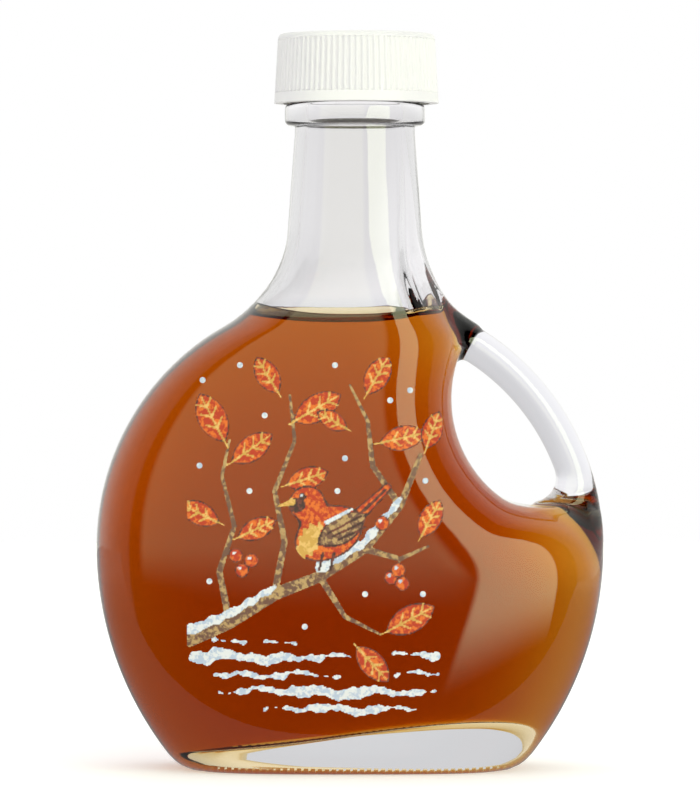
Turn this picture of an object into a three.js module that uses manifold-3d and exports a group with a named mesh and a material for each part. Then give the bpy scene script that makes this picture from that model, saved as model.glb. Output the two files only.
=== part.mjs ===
// A round, flattened glass flask for table syrup: a clear moulded bottle with a loop handle
// on one side of its neck, filled with syrup and closed by a ribbed white screw cap.
// Millimetres, +Z up. X runs across the flask with the handle at +X, and the front face looks
// along -Y. The origin is the middle of the base, on the surface that the flask stands on.
import * as THREE from "three";
import { mergeVertices } from "three/addons/utils/BufferGeometryUtils.js";
import Module from "manifold-3d";

const wasm = await Module();
wasm.setup();

// The flask's outline from the front: a circle, with flatter arcs below its centre line.
const bodyRadius = 51.5;
const bodyCentreZ = 45.2;
const lowerSideRadius = 68.2;

// The flask from the side: half its depth at the fullest point, and the arcs of its faces.
const halfDepth = 26;
const upperFaceRadius = 140;
const lowerFaceRadius = 260;

// The neck: a cone that flares into the shoulders, and stands a little towards the handle.
const neckTopRadius = 12.2;
const neckTopZ = 129.2;
const neckTaper = 0.075;
const shoulderFilletFront = 25;
const shoulderFilletSide = 40;
const neckLean = 1;
const leanStartZ = 86;
const leanEndZ = 106;

// How square the flask's horizontal sections are: 2 is an ellipse.
const neckSquareness = 2;
const bodySquareness = 3;
const squareTopZ = 104;
const squareBottomZ = 80;

// The finger hole: a round bite with a flat floor out of the body, bridged by the handle.
const bite = { x: 45.2, z: 75.1, radius: 24.7, floorZ: 53.2, cornerRound: 2 };
const biteEdgeRound = 17;
const biteEdgeSharp = 1;

// The handle: a bar on the body's own circle. Its foot spreads in a round inner corner.
const handleOuterRadius = 51.5;
const handleInnerRadius = 44.4;
const handleHalfDepth = 4.6;
const handleStartDeg = -3;
const handleEndDeg = 66;
const footCorner = { radius: 5, deg: 20.5, extraDepth: 2 };

// Glass walls, the heel's rounding and the hollow under the base.
const wallSide = 3.3;
const wallFace = 2.8;
const wallNeck = 2.3;
const wallBite = 4.6;
const heelRound = 3.4;
const pushUp = { halfX: 24, halfY: 9, height: 1.2 };

// The floor of the hollow: thin on the left, thick under the handle, and level above floorLevelZ.
const floorZ = 7.9;
const floorRise = 3;
const floorHalfSpan = 32;
const floorRound = 4;
const floorLevelZ = 36;

// The bead and the mouth that carry the cap.
const beadRadius = 14.25;
const beadBottomZ = 130.6;
const beadTopZ = 135.1;
const beadChamfer = 0.6;
const mouthRadius = 13.3;
const mouthTopZ = 147;
const neckJoinZ = 133;

// The cap, which sits a little further towards the handle than the mouth.
const capShift = 0.3;
const capBottomZ = 135.6;
const capTopZ = 149.2;
const capBottomRadius = 16.7;
const capTopRadius = 15.9;
const capBandHeight = 2.2;
const capEdgeRound = 0.8;
const capInnerRadius = 13.8;
const capInnerTopZ = 147.3;
const capRibs = 84;
const capRibDepth = 0.35;

// The syrup.
const syrupLevelZ = 92;
const syrupGap = 0.3;

// Facets round each form.
const bodyFacets = 48;
const hollowFacets = 40;
const roundFacets = 48;
const handleFacets = 12;
const handleSteps = 22;

const smoothStep = (from, to, value) => THREE.MathUtils.smoothstep(value, from, to);

// The larger of two distances, with the corner between them rounded over k.
function roundedMax(a, b, k) {
  const near = Math.max(k - Math.abs(a - b), 0) / k;
  return Math.max(a, b) + (near * near * k) / 4;
}

// Half the flask's size at a height: a neck line, a hollow fillet, an upper arc and a lower arc.
function flaskProfile({ fullest, upperRadius, lowerRadius, fillet }) {
  const upperCentre = fullest - upperRadius;
  const lowerCentre = fullest - lowerRadius;
  const slant = Math.hypot(1, neckTaper);
  const neckLine = (z) => neckTopRadius + (neckTopZ - z) * neckTaper;
  // The fillet's centre lies a fillet's radius off the neck line and off the upper arc.
  let centreZ = bodyCentreZ + upperRadius;
  for (let i = 0; i < 40; i++) {
    const across = neckLine(centreZ) + fillet * slant - upperCentre;
    centreZ = bodyCentreZ + Math.sqrt((upperRadius + fillet) ** 2 - across ** 2);
  }
  const centreX = neckLine(centreZ) + fillet * slant;
  const filletTopZ = centreZ - (fillet * neckTaper) / slant;
  const filletBottomZ =
    bodyCentreZ + ((centreZ - bodyCentreZ) * upperRadius) / (upperRadius + fillet);
  return (z) => {
    if (z >= filletTopZ) return neckLine(Math.min(z, neckTopZ));
    if (z >= filletBottomZ) return centreX - Math.sqrt(fillet ** 2 - (z - centreZ) ** 2);
    const [centre, radius] =
      z >= bodyCentreZ ? [upperCentre, upperRadius] : [lowerCentre, lowerRadius];
    return centre + Math.sqrt(radius ** 2 - (z - bodyCentreZ) ** 2);
  };
}

const halfWidthAt = flaskProfile({
  fullest: bodyRadius,
  upperRadius: bodyRadius,
  lowerRadius: lowerSideRadius,
  fillet: shoulderFilletFront,
});
const halfDepthAt = flaskProfile({
  fullest: halfDepth,
  upperRadius: upperFaceRadius,
  lowerRadius: lowerFaceRadius,
  fillet: shoulderFilletSide,
});
const axisAt = (z) => neckLean * smoothStep(leanStartZ, leanEndZ, z);
const squarenessAt = (z) =>
  THREE.MathUtils.lerp(bodySquareness, neckSquareness, smoothStep(squareBottomZ, squareTopZ, z));

// How far a point lies outside a rounded section, about as a true distance.
function sectionDistance(x, y, halfX, halfY, power) {
  const u = Math.abs(x) / halfX;
  const v = Math.abs(y) / halfY;
  const sum = Math.max(u ** power + v ** power, 1e-9);
  const slope =
    sum ** (1 / power - 1) * Math.hypot(u ** (power - 1) / halfX, v ** (power - 1) / halfY);
  return (sum ** (1 / power) - 1) / slope;
}

// How far a point lies inside the bite, widened by a margin.
function bittenBy(x, z, acrossZ, margin) {
  const inCircle = bite.radius + margin - Math.hypot(x - bite.x, acrossZ);
  return -roundedMax(-inCircle, bite.floorZ - margin - z, bite.cornerRound);
}

// The bite's edge is sharp on the flask's middle plane, and well rounded towards its faces.
const biteRoundAt = (y, depth) =>
  THREE.MathUtils.lerp(biteEdgeSharp, biteEdgeRound, smoothStep(0, depth / 2, Math.abs(y)));

// Below zero inside the outer form, without its handle.
function bodyField(x, y, z) {
  const depth = halfDepthAt(z);
  const side = sectionDistance(x - axisAt(z), y, halfWidthAt(z), depth, squarenessAt(z));
  const bitten = bittenBy(x, z, z - bite.z, 0);
  return roundedMax(roundedMax(side, bitten, biteRoundAt(y, depth)), -z, heelRound);
}

// Below zero inside the hollow. Above the bite's middle its wall beside the handle stays upright.
function hollowField(x, y, z) {
  const neckShare = smoothStep(squareBottomZ, squareTopZ, z);
  const depth = halfDepthAt(z) - THREE.MathUtils.lerp(wallFace, wallNeck, neckShare);
  const width = halfWidthAt(z) - THREE.MathUtils.lerp(wallSide, wallNeck, neckShare);
  const side = sectionDistance(x - axisAt(z), y, width, depth, squarenessAt(z));
  const above = z > bite.z ? (z - bite.z) / 2 : z - bite.z;
  const bitten = bittenBy(x, z, above, wallBite);
  return roundedMax(roundedMax(side, bitten, biteRoundAt(y, depth)), floorZ - z, floorRound);
}

// The hollow leans down to the left near its floor.
function leanOfFloor(x, z) {
  const across = THREE.MathUtils.clamp(x / floorHalfSpan, -1, 1);
  return floorRise * Math.sin((across * Math.PI) / 2) * (1 - smoothStep(floorZ, floorLevelZ, z));
}

// One horizontal ring of points where a field reaches a value, found outwards from the axis.
function ringAt(field, z, facets, value) {
  const points = [];
  for (let i = 0; i < facets; i++) {
    const turn = (2 * Math.PI * i) / facets;
    // More of the points lie near the two ends of a flat section.
    const angle = turn - 0.22 * Math.sin(2 * turn) * (1 - smoothStep(squareBottomZ, squareTopZ, z));
    const [dx, dy] = [Math.cos(angle), Math.sin(angle)];
    const at = (r) => field(axisAt(z) + r * dx, r * dy, z) - value;
    let near = 0;
    while (at(near + 1) < 0) near += 1;
    let far = near + 1;
    for (let k = 0; k < 30; k++) {
      const middle = (near + far) / 2;
      if (at(middle) < 0) near = middle;
      else far = middle;
    }
    points.push(new THREE.Vector3(axisAt(z) + near * dx, near * dy, z));
  }
  return points;
}

// A closed skin through rings of points, from the lowest ring to the highest.
function loft(rings) {
  const count = rings[0].length;
  const middleOf = (ring) =>
    ring.reduce((sum, p) => sum.add(p), new THREE.Vector3()).divideScalar(count);
  const points = [...rings.flat(), middleOf(rings[0]), middleOf(rings.at(-1))];
  const lowest = points.length - 2;
  const highest = points.length - 1;
  const faces = [];
  for (let i = 0; i < count; i++) {
    const j = (i + 1) % count;
    faces.push(lowest, j, i);
    for (let k = 0; k + 1 < rings.length; k++) {
      const [a, b] = [k * count + i, k * count + j];
      faces.push(a, b, b + count, a, b + count, a + count);
    }
    const top = (rings.length - 1) * count;
    faces.push(highest, top + i, top + j);
  }
  return new THREE.BufferGeometry().setFromPoints(points).setIndex(faces);
}

// Heights from one to another: a share above 1 packs them towards the start, below 1 the end.
function heights(from, to, steps, share = 1) {
  return Array.from({ length: steps }, (_, i) => from + (to - from) * ((i + 1) / steps) ** share);
}

// three.js geometry to a solid, and back.
function solid(geometry) {
  const bare = geometry.clone();
  bare.deleteAttribute("normal");
  bare.deleteAttribute("uv");
  const merged = mergeVertices(bare, 1e-4);
  return new wasm.Manifold(
    new wasm.Mesh({
      numProp: 3,
      vertProperties: new Float32Array(merged.attributes.position.array),
      triVerts: new Uint32Array(merged.index.array),
    }),
  );
}

function geometryOf(made) {
  const mesh = made.getMesh();
  return new THREE.BufferGeometry()
    .setAttribute("position", new THREE.BufferAttribute(mesh.vertProperties, 3))
    .setIndex(new THREE.BufferAttribute(mesh.triVerts, 1));
}

// A turned form about the upright line through the neck's axis.
function turned(profile, facets = roundFacets) {
  const points = profile.map(([r, z]) => new THREE.Vector2(r, z));
  return new THREE.LatheGeometry(points, facets).rotateX(Math.PI / 2).translate(neckLean, 0, 0);
}

function bodyForm() {
  const rings = [
    0.001,
    ...heights(0, heelRound, 5, 1.6),
    ...heights(heelRound, 44, 9),
    ...heights(44, 52.4, 4),
    53.3,
    ...heights(53.3, 62, 5, 1.5),
    ...heights(62, 90, 8),
    ...heights(90, 108, 7),
    ...heights(108, neckJoinZ, 3),
  ];
  return loft(rings.map((z) => ringAt(bodyField, z, bodyFacets, 0)));
}

function hollowForm(topZ, value) {
  const low = floorZ - value + 0.001;
  const neck = topZ > syrupLevelZ ? [...heights(syrupLevelZ, 108, 6), 120, neckTopZ, topZ] : [];
  const rings = [
    low,
    ...heights(low, low + floorRound, 5, 1.6),
    ...heights(low + floorRound, 44, 7),
    ...heights(44, 58, 6),
    ...heights(58, syrupLevelZ, 8),
    ...neck,
  ];
  return loft(
    rings.map((z) => {
      const ring = ringAt(hollowField, z, hollowFacets, value);
      ring.forEach((p) => (p.z += leanOfFloor(p.x, z)));
      return ring;
    }),
  );
}

function mouthForm() {
  return turned([
    [0, neckTopZ - 2],
    [neckTopRadius - 0.8, neckTopZ - 2],
    [neckTopRadius - 0.8, neckTopZ + 1],
    [beadRadius - beadChamfer, beadBottomZ],
    [beadRadius, beadBottomZ + beadChamfer],
    [beadRadius, beadTopZ - beadChamfer],
    [beadRadius - beadChamfer, beadTopZ],
    [mouthRadius, beadTopZ],
    [mouthRadius, mouthTopZ - beadChamfer],
    [mouthRadius - beadChamfer, mouthTopZ],
    [0, mouthTopZ],
  ]);
}

// The handle's bar follows an arc about the body's centre. Its section is an oval.
function handleForm() {
  const cornerDistance = handleInnerRadius - footCorner.radius;
  const rings = Array.from({ length: handleSteps + 1 }, (_, k) => {
    const deg = THREE.MathUtils.lerp(handleStartDeg, handleEndDeg, k / handleSteps);
    // Below the corner's middle, the inner side follows the corner's arc towards the body.
    const below = THREE.MathUtils.degToRad(Math.max(footCorner.deg - deg, 0));
    const across = Math.min(cornerDistance * Math.sin(below), footCorner.radius);
    const inner = cornerDistance * Math.cos(below) + Math.sqrt(footCorner.radius ** 2 - across ** 2);
    const halfDepth = handleHalfDepth + footCorner.extraDepth * (1 - smoothStep(2, 18, deg));
    const middle = (handleOuterRadius + inner) / 2;
    const along = THREE.MathUtils.degToRad(deg);
    return Array.from({ length: handleFacets }, (_, i) => {
      const turn = (2 * Math.PI * i) / handleFacets;
      const r = middle + (handleOuterRadius - middle) * Math.cos(turn);
      const z = bodyCentreZ + r * Math.sin(along);
      return new THREE.Vector3(r * Math.cos(along), halfDepth * Math.sin(turn), z);
    });
  });
  return loft(rings);
}

function pushUpForm() {
  const dome = new THREE.SphereGeometry(1, 24, 10);
  return dome.scale(pushUp.halfX, pushUp.halfY, pushUp.height);
}

function bottleGeometry() {
  return geometryOf(
    solid(bodyForm())
      .add(solid(mouthForm()))
      .add(solid(handleForm()))
      .subtract(solid(hollowForm(capTopZ, 0)))
      .subtract(solid(pushUpForm())),
  );
}

// The cap's outside: a plain band, then fine upright ribs, then a rounded top edge.
function capGeometry() {
  const ribbed = capRibs * 2;
  const ring = (radius, z, depth) =>
    Array.from({ length: ribbed }, (_, i) => {
      const turn = (2 * Math.PI * i) / ribbed;
      const r = radius - (i % 2) * depth;
      return new THREE.Vector3(neckLean + capShift + r * Math.cos(turn), r * Math.sin(turn), z);
    });
  const radiusAt = (z) =>
    THREE.MathUtils.mapLinear(z, capBottomZ, capTopZ, capBottomRadius, capTopRadius);
  const bandTopZ = capBottomZ + capBandHeight;
  const ribTopZ = capTopZ - capEdgeRound;
  const outside = loft([
    ring(capBottomRadius, capBottomZ, 0),
    ring(radiusAt(bandTopZ), bandTopZ, 0),
    ring(radiusAt(bandTopZ + 0.3), bandTopZ + 0.3, capRibDepth),
    ring(radiusAt(ribTopZ), ribTopZ, capRibDepth),
    ring(capTopRadius - capEdgeRound, capTopZ, 0),
  ]);
  const inside = turned([
    [0, capBottomZ - 1],
    [capInnerRadius + 1.2, capBottomZ - 1],
    [capInnerRadius + 1.2, capBottomZ + 0.4],
    [capInnerRadius, capBottomZ + 1.4],
    [capInnerRadius, capInnerTopZ],
    [0, capInnerTopZ],
  ]).translate(capShift, 0, 0);
  return geometryOf(solid(outside).subtract(solid(inside)));
}

function named(name, geometry, colour, looks) {
  const mesh = new THREE.Mesh(geometry, new THREE.MeshStandardMaterial({ color: colour, ...looks }));
  mesh.name = name;
  return mesh;
}

const dispenser = new THREE.Group();
dispenser.add(
  named("glass_bottle", bottleGeometry(), 0xe9ebf0, {
    roughness: 0.03,
    metalness: 0,
    transparent: true,
    opacity: 0.35,
  }),
  named("syrup", hollowForm(syrupLevelZ, -syrupGap), 0x9a4a12, { roughness: 0.1, metalness: 0 }),
  named("screw_cap", capGeometry(), 0xf4f5f0, { roughness: 0.45, metalness: 0 }),
);

export default dispenser;
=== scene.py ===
import math

import bpy
import numpy as np
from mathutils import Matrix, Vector


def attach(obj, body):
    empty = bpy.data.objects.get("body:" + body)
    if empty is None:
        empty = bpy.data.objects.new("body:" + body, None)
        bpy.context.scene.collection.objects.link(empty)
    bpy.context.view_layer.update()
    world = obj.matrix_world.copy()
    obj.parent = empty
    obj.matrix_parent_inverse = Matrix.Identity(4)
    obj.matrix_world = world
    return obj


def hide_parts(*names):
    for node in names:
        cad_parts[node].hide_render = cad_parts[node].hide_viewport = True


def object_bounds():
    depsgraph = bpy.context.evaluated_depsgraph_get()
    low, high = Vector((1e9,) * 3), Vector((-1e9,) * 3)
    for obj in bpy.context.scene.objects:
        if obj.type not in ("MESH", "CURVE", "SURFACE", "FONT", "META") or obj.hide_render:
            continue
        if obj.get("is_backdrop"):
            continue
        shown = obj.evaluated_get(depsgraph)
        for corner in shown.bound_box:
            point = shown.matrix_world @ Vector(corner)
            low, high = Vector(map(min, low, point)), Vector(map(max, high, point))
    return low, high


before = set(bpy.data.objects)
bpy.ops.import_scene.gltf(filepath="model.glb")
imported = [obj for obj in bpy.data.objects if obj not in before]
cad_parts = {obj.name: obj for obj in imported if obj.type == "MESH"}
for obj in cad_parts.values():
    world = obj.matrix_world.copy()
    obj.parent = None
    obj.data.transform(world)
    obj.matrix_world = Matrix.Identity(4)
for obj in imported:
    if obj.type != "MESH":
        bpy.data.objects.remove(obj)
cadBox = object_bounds()
print("packed model loaded")


# Shader maths: an expression on wires adds Math nodes to the finish that they belong to.
class Wire:
    def __init__(self, finish, socket):
        self.finish, self.socket = finish, socket

    def join(self, how, first, second=0.0):
        return self.finish.node("ShaderNodeMath", {"operation": how}, {0: first, 1: second})

    def __add__(self, other):
        return self.join("ADD", self, other)

    def __radd__(self, other):
        return self.join("ADD", other, self)

    def __sub__(self, other):
        return self.join("SUBTRACT", self, other)

    def __rsub__(self, other):
        return self.join("SUBTRACT", other, self)

    def __mul__(self, other):
        return self.join("MULTIPLY", self, other)

    def __rmul__(self, other):
        return self.join("MULTIPLY", other, self)

    def root(self):
        return self.join("POWER", self, 0.5)

    def sine(self):
        return self.join("SINE", self)

    def size(self):
        return self.join("ABSOLUTE", self)


class Finish:
    def __init__(self, name, kind="materials"):
        self.material = getattr(bpy.data, kind).new(name)
        self.material.use_nodes = True
        self.tree = self.material.node_tree
        self.tree.nodes.clear()

    def node(self, kind, settings=None, sockets=None, out=0):
        made = self.tree.nodes.new(kind)
        for name, value in (settings or {}).items():
            if name == "stops":
                while len(made.color_ramp.elements) < len(value):
                    made.color_ramp.elements.new(0.5)
                for stop, (place, colour) in zip(made.color_ramp.elements, value):
                    stop.position, stop.color = place, (*colour, 1)
            else:
                setattr(made, name, value)
        for name, value in (sockets or {}).items():
            if isinstance(value, Wire):
                self.tree.links.new(value.socket, made.inputs[name])
            else:
                made.inputs[name].default_value = value
        return Wire(self, made.outputs[out])

    def place(self):
        return self.node("ShaderNodeTexCoord", out="Object")

    def apart(self, vector):
        self.node("ShaderNodeSeparateXYZ", None, {0: vector})
        return [Wire(self, out) for out in self.tree.nodes[-1].outputs]

    def together(self, x, y, z):
        return self.node("ShaderNodeCombineXYZ", None, {0: x, 1: y, 2: z})

    def window(self, value, low, high, soft):
        # 1 between two values, with a soft edge at both
        rise = self.step(value, low - soft, low + soft)
        return rise * (1 - self.step(value, high - soft, high + soft))

    def noise(self, scale, detail=2.0, roughness=0.5, at=None):
        sockets = {"Vector": at or self.place(), "Scale": scale, "Detail": detail, "Roughness": roughness}
        return self.node("ShaderNodeTexNoise", sockets=sockets)

    def step(self, value, low, high):
        sockets = {"Value": value, "From Min": low, "From Max": high}
        return self.node("ShaderNodeMapRange", {"interpolation_type": "SMOOTHSTEP"}, sockets)

    def blend(self, share, first, second):
        sockets = {"Factor": share, 6: first, 7: second}
        return self.node("ShaderNodeMix", {"data_type": "RGBA"}, sockets, out=2)

    def shade(self, value):
        return self.blend(value, (0, 0, 0, 1), (1, 1, 1, 1))

    def bump(self, height, distance, strength):
        sockets = {"Strength": strength, "Distance": distance, "Height": height}
        return self.node("ShaderNodeBump", sockets=sockets)

    def clearBody(self, tint, bending, more=None):
        sockets = {"Base Color": tint, "Roughness": 0.0, "IOR": bending, "Transmission Weight": 1.0}
        return self.node("ShaderNodeBsdfPrincipled", None, {**sockets, **(more or {})})

    def lampsPass(self, surface, colour):
        # lamps shine through, so that the flask's shadow on the floor stays light
        clear = self.node("ShaderNodeBsdfTransparent", None, {"Color": colour})
        lamp = self.node("ShaderNodeLightPath", out="Is Shadow Ray")
        return self.node("ShaderNodeMixShader", None, {0: lamp, 1: surface, 2: clear})

    def done(self, surface, volume=None, kind="Material"):
        sockets = {"Surface": surface}
        if volume:
            sockets["Volume"] = volume
        made = self.tree.nodes.new("ShaderNodeOutput" + kind)
        for name, value in sockets.items():
            self.tree.links.new(value.socket, made.inputs[name])
        return self.material


def letGo():
    if bpy.context.object and bpy.context.object.mode != "OBJECT":
        bpy.ops.object.mode_set(mode="OBJECT")
    bpy.ops.object.select_all(action="DESELECT")


def take(piece):
    letGo()
    piece.select_set(True)
    bpy.context.view_layer.objects.active = piece


def modify(piece, kind, **settings):
    take(piece)
    made = piece.modifiers.new(kind.lower(), kind)
    for name, value in settings.items():
        setattr(made, name, value)
    bpy.ops.object.modifier_apply(modifier=made.name)


def combine(piece, other, how):
    modify(piece, "BOOLEAN", operation=how, object=other, solver="MANIFOLD")
    bpy.data.objects.remove(other)


def pointsOf(piece):
    places = np.empty(len(piece.data.vertices) * 3, np.float32)
    piece.data.vertices.foreach_get("co", places)
    return places.reshape(-1, 3).astype(float)


def setPoints(piece, places):
    piece.data.vertices.foreach_set("co", places.astype(np.float32).ravel())
    piece.data.update()


def pickPoints(piece, flags):
    # goes into edit mode with these points selected, and nothing else
    take(piece)
    bpy.ops.object.mode_set(mode="EDIT")
    bpy.ops.mesh.select_mode(type="VERT")
    bpy.ops.object.mode_set(mode="OBJECT")
    data = piece.data
    data.polygons.foreach_set("select", np.zeros(len(data.polygons), bool))
    data.edges.foreach_set("select", np.zeros(len(data.edges), bool))
    data.vertices.foreach_set("select", flags)
    bpy.ops.object.mode_set(mode="EDIT")


def facesOutwards():
    bpy.ops.mesh.select_all(action="SELECT")
    bpy.ops.mesh.normals_make_consistent(inside=False)
    bpy.ops.object.mode_set(mode="OBJECT")


# The flask's own form, in millimetres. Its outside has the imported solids' sizes.
flask = {
    "bodyRadius": 51.5, "bodyCentreZ": 45.2, "lowerSideRadius": 68.2,
    "halfDepth": 26.0, "upperFaceRadius": 140.0, "lowerFaceRadius": 260.0,
    "neckTopRadius": 12.2, "neckTopZ": 129.2, "neckTaper": 0.075,
    "filletFront": 25.0, "filletSide": 40.0,
    "lean": 1.0, "leanStartZ": 86.0, "leanEndZ": 106.0,
    "neckSquareness": 2.0, "bodySquareness": 3.0, "squareBottomZ": 80.0, "squareTopZ": 104.0,
    "biteX": 45.2, "biteZ": 75.1, "biteRadius": 24.7, "biteFloorZ": 53.2, "biteCornerRound": 2.0,
    "biteEdgeRound": 17.0, "biteEdgeSharp": 1.0, "heelRound": 3.4,
    "wallSide": 3.3, "wallFaceLow": 2.1, "wallFaceHigh": 3.9, "faceTurnZ": (25, 82), "wallNeck": 2.3,
    "wallBite": 4.6, "wallDrift": 1.3, "cornerEase": 1.2, "cornerTurnX": (12, 44),
    "floorZ": 7.9, "floorRise": 3.0, "floorHalfSpan": 32.0, "floorRound": 4.0, "floorLevelZ": 36.0,
    "joinZ": 133.0, "hollowTopZ": 150.0, "facets": 176, "gather": 0.22, "ringStep": 1.3,
}


def easeStep(low, high, value):
    share = np.clip((value - low) / (high - low), 0, 1)
    return share * share * (3 - 2 * share)


def between(low, high, share):
    return low + (high - low) * share


def roundedMax(a, b, k):
    near = np.maximum(k - np.abs(a - b), 0) / k
    return np.maximum(a, b) + near * near * k / 4


def profileOf(fullest, upperRadius, lowerRadius, fillet):
    # half the flask's size at a height: neck line, hollow fillet, upper arc, lower arc
    taper, middleZ = flask["neckTaper"], flask["bodyCentreZ"]
    slant = math.hypot(1, taper)
    neckLine = lambda z: flask["neckTopRadius"] + (flask["neckTopZ"] - z) * taper
    upperCentre, lowerCentre = fullest - upperRadius, fullest - lowerRadius
    centreZ = middleZ + upperRadius
    for _ in range(40):
        across = neckLine(centreZ) + fillet * slant - upperCentre
        centreZ = middleZ + math.sqrt((upperRadius + fillet) ** 2 - across**2)
    centreX = neckLine(centreZ) + fillet * slant
    filletTop = centreZ - fillet * taper / slant
    filletBottom = middleZ + (centreZ - middleZ) * upperRadius / (upperRadius + fillet)

    def halfAt(z):
        if z >= filletTop:
            return neckLine(min(z, flask["neckTopZ"]))
        if z >= filletBottom:
            return centreX - math.sqrt(fillet**2 - (z - centreZ) ** 2)
        centre, radius = (upperCentre, upperRadius) if z >= middleZ else (lowerCentre, lowerRadius)
        return centre + math.sqrt(radius**2 - (z - middleZ) ** 2)

    return halfAt


def tableOf(halfAt):
    heights = np.linspace(-3, 137, 2801)
    sizes = [halfAt(z) for z in heights]
    return lambda z: np.interp(z, heights, sizes)


halfWidthAt = tableOf(
    profileOf(flask["bodyRadius"], flask["bodyRadius"], flask["lowerSideRadius"], flask["filletFront"]))
halfDepthAt = tableOf(
    profileOf(flask["halfDepth"], flask["upperFaceRadius"], flask["lowerFaceRadius"], flask["filletSide"]))


def axisAt(z):
    return flask["lean"] * easeStep(flask["leanStartZ"], flask["leanEndZ"], z)


def neckShare(z):
    return easeStep(flask["squareBottomZ"], flask["squareTopZ"], z)


def squarenessAt(z):
    return between(flask["bodySquareness"], flask["neckSquareness"], neckShare(z))


def sectionDistance(x, y, halfX, halfY, power):
    u, v = np.abs(x) / halfX + 1e-9, np.abs(y) / halfY + 1e-9
    total = u**power + v**power
    slope = total ** (1 / power - 1) * np.hypot(u ** (power - 1) / halfX, v ** (power - 1) / halfY)
    return (total ** (1 / power) - 1) / slope


def biteRoundAt(y, depth):
    return between(flask["biteEdgeSharp"], flask["biteEdgeRound"], easeStep(0, depth / 2, np.abs(y)))


def bittenBy(x, z, acrossZ, margin):
    inCircle = flask["biteRadius"] + margin - np.hypot(x - flask["biteX"], acrossZ)
    return -roundedMax(-inCircle, flask["biteFloorZ"] - margin - z, flask["biteCornerRound"])


def bodyField(x, y, z):
    depth = halfDepthAt(z)
    side = sectionDistance(x - axisAt(z), y, halfWidthAt(z), depth, squarenessAt(z))
    bitten = bittenBy(x, z, z - flask["biteZ"], 0)
    return roundedMax(roundedMax(side, bitten, biteRoundAt(y, depth)), -z, flask["heelRound"])


def hollowField(x, y, z):
    # the glass is thicker high up and on the handle's side, where the hollow's corners are rounder
    share = neckShare(z)
    face = between(flask["wallFaceLow"], flask["wallFaceHigh"], easeStep(*flask["faceTurnZ"], z))
    depth = halfDepthAt(z) - between(face, flask["wallNeck"], share)
    width = halfWidthAt(z) - between(flask["wallSide"], flask["wallNeck"], share)
    drift = flask["wallDrift"] * (1 - share)
    square = squarenessAt(z) - flask["cornerEase"] * easeStep(*flask["cornerTurnX"], x) * (1 - share)
    side = sectionDistance(x - axisAt(z) + drift, y, width, depth, square)
    above = z - flask["biteZ"]
    bitten = bittenBy(x, z, np.where(above > 0, above / 2, above), flask["wallBite"])
    wall = roundedMax(side, bitten, biteRoundAt(y, depth))
    return roundedMax(wall, flask["floorZ"] - z, flask["floorRound"])


def leanOfFloor(x, z):
    across = np.clip(x / flask["floorHalfSpan"], -1, 1)
    settle = 1 - easeStep(flask["floorZ"], flask["floorLevelZ"], z)
    return flask["floorRise"] * np.sin(across * math.pi / 2) * settle


def ringAt(field, z, value=0.0):
    # one level ring of points on a field's surface, found outwards from the axis; they gather at the sides
    turn = np.linspace(0, 2 * math.pi, flask["facets"], endpoint=False)
    angle = turn - flask["gather"] * np.sin(2 * turn) * (1 - neckShare(z))
    dx, dy, axis = np.cos(angle), np.sin(angle), axisAt(z)
    near, far = np.zeros_like(angle), np.full_like(angle, 60.0)
    for _ in range(34):
        middle = (near + far) / 2
        inside = field(axis + middle * dx, middle * dy, z) < value
        near, far = np.where(inside, middle, near), np.where(inside, far, middle)
    return np.stack([axis + near * dx, near * dy, np.full_like(angle, z)], axis=1)


def ringsUp(field, low, high, value=0.0):
    # rings from a low height to a high one, nearer together where the outline turns
    rings = [ringAt(field, low, value)]
    z = low
    while z < high:
        hop = flask["ringStep"]
        while True:
            ring = ringAt(field, min(z + hop, high), value)
            if np.linalg.norm(ring - rings[-1], axis=1).max() < flask["ringStep"] * 1.5 or hop < 0.03:
                break
            hop *= 0.6
        z = min(z + hop, high)
        rings.append(ring)
    return rings


def ballOfRings(name, rings, topFrom=None):
    # a ball whose rings are moved to the given ones, from the lowest to the highest
    rings = np.array(rings)
    levels, count = len(rings), rings.shape[1]
    letGo()
    bpy.ops.mesh.primitive_uv_sphere_add(segments=count, ring_count=levels + 1, radius=1)
    piece = bpy.context.object
    piece.name = piece.data.name = name
    start = pointsOf(piece)
    level = np.rint(np.arccos(np.clip(-start[:, 2], -1, 1)) * (levels + 1) / math.pi).astype(int)
    turn = np.rint(np.arctan2(start[:, 1], start[:, 0]) * count / (2 * math.pi)).astype(int) % count
    places = rings[np.clip(level - 1, 0, levels - 1), turn]
    places[level == 0] = rings[0].mean(axis=0)
    places[level == levels + 1] = rings[-1].mean(axis=0)
    setPoints(piece, places / 1000)
    take(piece)
    bpy.ops.object.shade_smooth()
    if topFrom:
        onTop = piece.data.attributes.new("syrupTop", "FLOAT", "FACE")
        onTop.data.foreach_set("value", [
            float(min(level[i] for i in face.vertices) > topFrom) for face in piece.data.polygons])
    return piece


def closedIn(ring, shares):
    # smaller copies of a ring, towards its middle
    middle = ring.mean(axis=0)
    return [middle + (ring - middle) * share for share in shares]


def startRing(name, radius, z, centreX, facets, fill):
    # a level ring at its size and place, selected in edit mode
    letGo()
    bpy.ops.mesh.primitive_circle_add(
        vertices=facets, radius=radius / 1000, fill_type=fill, location=(centreX / 1000, 0, z / 1000))
    piece = bpy.context.object
    piece.name = piece.data.name = name
    bpy.ops.object.transform_apply(location=True, rotation=True, scale=True)
    bpy.ops.object.mode_set(mode="EDIT")
    bpy.ops.mesh.select_all(action="SELECT")
    return piece


def drawUp(profile, centreX, extrude):
    # the selected ring is extruded and sized for each step of the profile
    for (radius, z), (nextRadius, nextZ) in zip(profile, profile[1:]):
        extrude(TRANSFORM_OT_translate={"value": (0, 0, (nextZ - z) / 1000)})
        share = nextRadius / radius
        bpy.ops.transform.resize(value=(share, share, 1), center_override=(centreX / 1000, 0, nextZ / 1000))


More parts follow.
